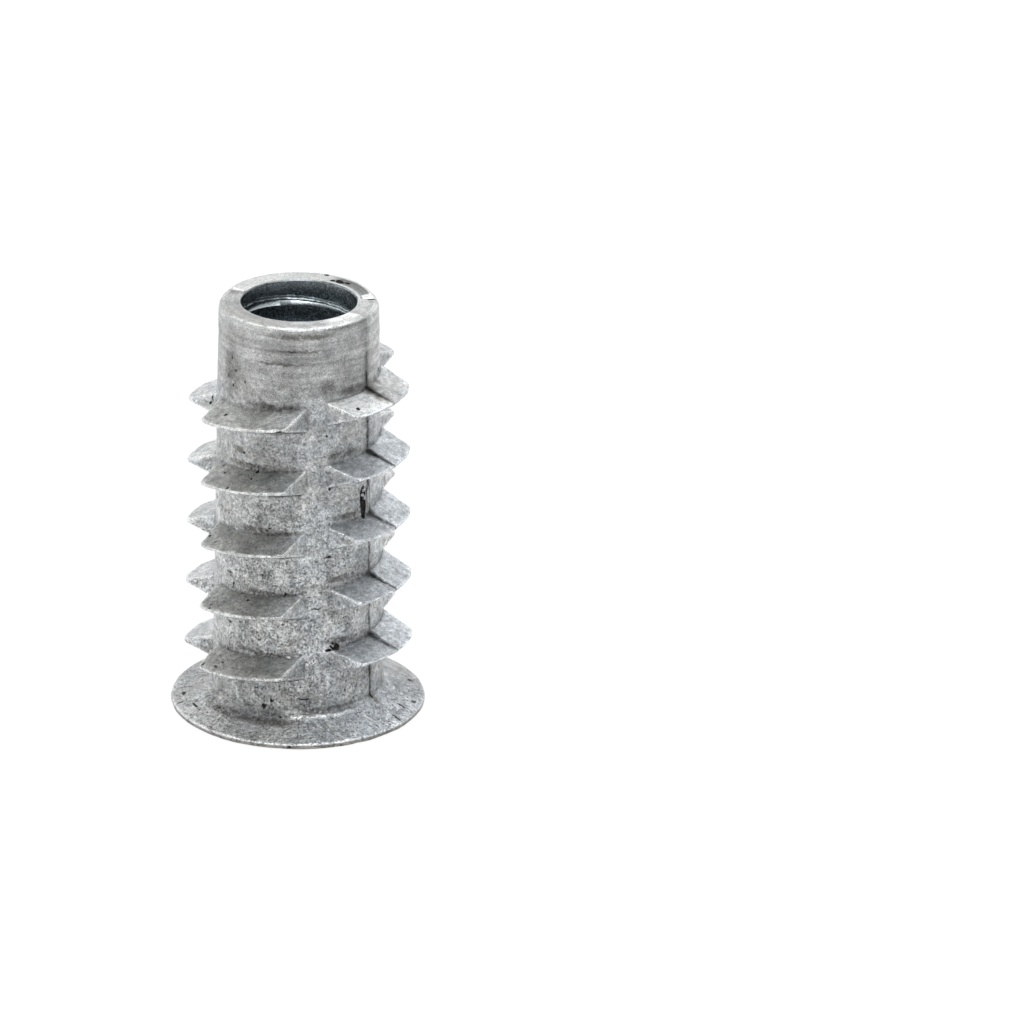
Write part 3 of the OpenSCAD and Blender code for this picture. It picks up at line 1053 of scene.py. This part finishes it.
def finish_bore(material, group):
    """The bore and the socket: formed on polished cores, darker and shinier than the skin."""
    n, shader, grain = start_finish(material, group)
    up = n.parts(n.add("NewGeometry").outputs["Normal"])["Z"]
    tone = n.times(n.span(grain["Mottle"], 0.35, 0.65, 0.26, 0.40),
                   n.span(grain["Speck"], 0.30, 0.70, 0.5, 1.45))
    # painted highlight: what faces up just below the mouth is made bright
    crest = n.times(n.span(up, 0.25, 0.7, 0.0, 0.5),
                    n.span(n.parts(grain["Place"])["Z"], 19.04, 18.98))
    tone = n.math("ADD", tone, crest, clamp=True)
    n.link(n.mix(tone, (0, 0, 0, 1), (0.90, 1.0, 1.05, 1)), shader, "Base Color")
    n.link(n.span(grain["Speck"], 0.35, 0.65, 0.16, 0.28), shader, "Roughness")
    height = n.math("MULTIPLY_ADD", grain["Grain"], 0.4, n.times(grain["Speck"], 0.6))
    add_bump(n, shader, height, 0.6, BORE_BUMP)


def finish_trim(material, group):
    """The trimmed lip: bright where the trimming tool scraped it, with rings of scratches."""
    n, shader, grain = start_finish(material, group)
    angle, radius = grain["Angle"], grain["Radius"]
    rings = n.add("CombineXYZ", {0: n.times(angle, 0.03), 1: n.times(radius, 26.0)}).outputs[0]
    rings = n.noise(rings, 1.0, 3, 0.6)
    tone = n.times(n.span(rings, 0.35, 0.62, 0.42, 0.76),
                   n.span(grain["Speck"], 0.30, 0.60, 0.70, 1.1))
    # painted shade: a dark band follows the mouth from the lip's first end; painted highlights:
    # both ends are bright
    dark = n.times(n.span(radius, 3.31, 3.25), n.span(radius, 2.80, 2.88),
                   n.span(angle, 94, 84), n.span(angle, 0, 10))
    tone = n.scaled(tone, dark, 0.30)
    first = n.times(n.span(angle, 46, 43), n.span(angle, 0, 10), n.span(radius, 2.86, 2.94))
    ends = n.math("MAXIMUM", first, n.around(angle, -171.8, 1.0, 0.6))
    ends = n.times(ends, n.span(radius, 3.34, 3.28))
    tone = n.math("MULTIPLY_ADD", ends, 0.6, tone, clamp=True)
    n.link(n.mix(tone, (0, 0, 0, 1), (0.98, 1.0, 1.0, 1)), shader, "Base Color")
    n.link(n.span(grain["Mottle"], 0.3, 0.7, 0.30, 0.20), shader, "Roughness")
    add_bump(n, shader, rings, 0.8, TRIM_BUMP)


def finish_black_fill(material, group):
    """The fill of the pits: almost black, with a little metal showing; under the lip's end it is a
    painted shadow.
    """
    n, shader, grain = start_finish(material, group, 0.6)
    shader.inputs["Specular IOR Level"].default_value = 0.3
    tone = n.span(grain["Speck"], 0.35, 0.75, 0.01, 0.12)
    n.link(n.mix(tone, (0, 0, 0, 1), (1.0, 0.95, 0.88, 1)), shader, "Base Color")
    n.link(n.span(grain["Mottle"], 0.3, 0.7, 0.75, 0.5), shader, "Roughness")


# ---------------------------------------------------------------- stage, light, camera

FLOOR_R = 0.7
# The floor's rim: how far out and up each of its rings goes
RIM_STEPS = ((0.03, 0.004), (0.03, 0.012), (0.02, 0.02), (0.01, 0.074))
# The camera's side and height, as angles, how far it is from the bore's middle, and its own turn
CAMERA_SIDE = -56.93
CAMERA_HEIGHT = 22.513
CAMERA_AWAY = 0.30348
MIDDLE_Z = 0.01
CAMERA_TURN = (67.3964, -0.8563, 31.404)
# Turn from the camera's side, counter-clockwise from above, height, strength, how narrow it is
LAMPS = [(0, 90, 1.70, 6), (90, 65, 0.15, 6), (135, 38, 0.80, 6), (180, 5, 0.95, 6),
         (145, 5, 0.45, 6), (215, 5, 0.95, 6), (270, 5, 1.35, 6), (0, 55, 2.1, 12)]


def floor_material():
    """Pale and matt; what looks at it or reflects it sees it near white, with a faint shadow."""
    material = new_material("pale_floor")
    tree = material.node_tree
    n = Nodes(tree)
    shader = tree.nodes["Principled BSDF"]
    shader.inputs["Base Color"].default_value = (0.85, 0.85, 0.85, 1)
    shader.inputs["Roughness"].default_value = 1.0
    shader.inputs["Specular IOR Level"].default_value = 0.0
    rays = n.add("LightPath").outputs
    seen = n.times(rays["Is Camera Ray"], 0.85)
    mirrored = n.times(n.math("MAXIMUM", rays["Is Glossy Ray"], rays["Is Transmission Ray"]), 0.30)
    white = n.add("Emission", {"Color": (1, 1, 1, 1), "Strength": 1.07})
    top = n.add("MixShader", {0: n.math("ADD", seen, mirrored, clamp=True),
                              1: shader.outputs[0], 2: white.outputs[0]})
    both = n.add("MixShader", {0: n.add("NewGeometry").outputs["Backfacing"], 1: top.outputs[0],
                               2: n.add("BsdfTransparent").outputs[0]})
    n.link(both.outputs[0], tree.nodes["Material Output"], "Surface")
    return material


def lay_floor():
    """A wide floor whose rim turns up, so that low views end on it as well."""
    bpy.ops.object.select_all(action="DESELECT")
    bpy.ops.mesh.primitive_circle_add(vertices=128, radius=FLOOR_R, fill_type="NGON",
                                      location=(0, 0, -0.03 * MM))
    floor = bpy.context.object
    floor.name = "floor"
    bpy.ops.object.transform_apply()
    open_edit(floor, "EDGE", "DESELECT")
    bpy.ops.mesh.select_non_manifold()
    for out, up in RIM_STEPS:
        bpy.ops.mesh.extrude_edges_move(TRANSFORM_OT_translate={"value": (0, 0, up)})
        share = 1 + out / FLOOR_R
        bpy.ops.transform.resize(value=(share, share, 1), center_override=(0, 0, 0))
    close_edit()
    only(floor)
    bpy.ops.object.shade_smooth()
    floor.data.materials.append(floor_material())


def light_room():
    """Soft lamps all round as smooth patches of light in the room."""
    world = bpy.data.worlds.new("soft_room")
    bpy.context.scene.world = world
    world.use_nodes = True
    n = Nodes(world.node_tree)
    way = n.add("TexCoord").outputs["Generated"]
    total = 0.0
    for turn, height, strength, focus in LAMPS:
        a, e = math.radians(CAMERA_SIDE + turn), math.radians(height)
        towards = (math.cos(e) * math.cos(a), math.cos(e) * math.sin(a), math.sin(e))
        along = n.add("VectorMath", {0: way, 1: towards}, operation="DOT_PRODUCT").outputs["Value"]
        glow = n.math("EXPONENT", n.math("MULTIPLY_ADD", along, focus, -focus))
        total = n.math("MULTIPLY_ADD", glow, strength, total)
    background = world.node_tree.nodes["Background"]
    background.inputs["Color"].default_value = (1, 1, 1, 1)
    n.link(total, background, "Strength")


def set_camera():
    """A long lens, looking down a little at the casting."""
    data = bpy.data.cameras.new("camera")
    camera = bpy.data.objects.new("camera", data)
    bpy.context.scene.collection.objects.link(camera)
    height = math.radians(CAMERA_HEIGHT)
    camera.location = spot_on(CAMERA_AWAY * math.cos(height), CAMERA_SIDE,
                              CAMERA_AWAY * math.sin(height) + MIDDLE_Z)
    camera.rotation_euler = [math.radians(a) for a in CAMERA_TURN]
    data.sensor_width = 36
    data.lens = 230.33
    data.clip_start, data.clip_end = 0.01, 5
    bpy.context.scene.camera = camera


casting = make_casting()
shared_grain = cast_grain()
finish_skin(SKIN, shared_grain, cast_marks())
finish_bore(BORE, shared_grain)
finish_trim(TRIM, shared_grain)
finish_black_fill(BLACK_FILL, shared_grain)
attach(casting, "root")
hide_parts("insert")
lay_floor()
light_room()
set_camera()
bpy.context.scene.view_settings.view_transform = "Standard"
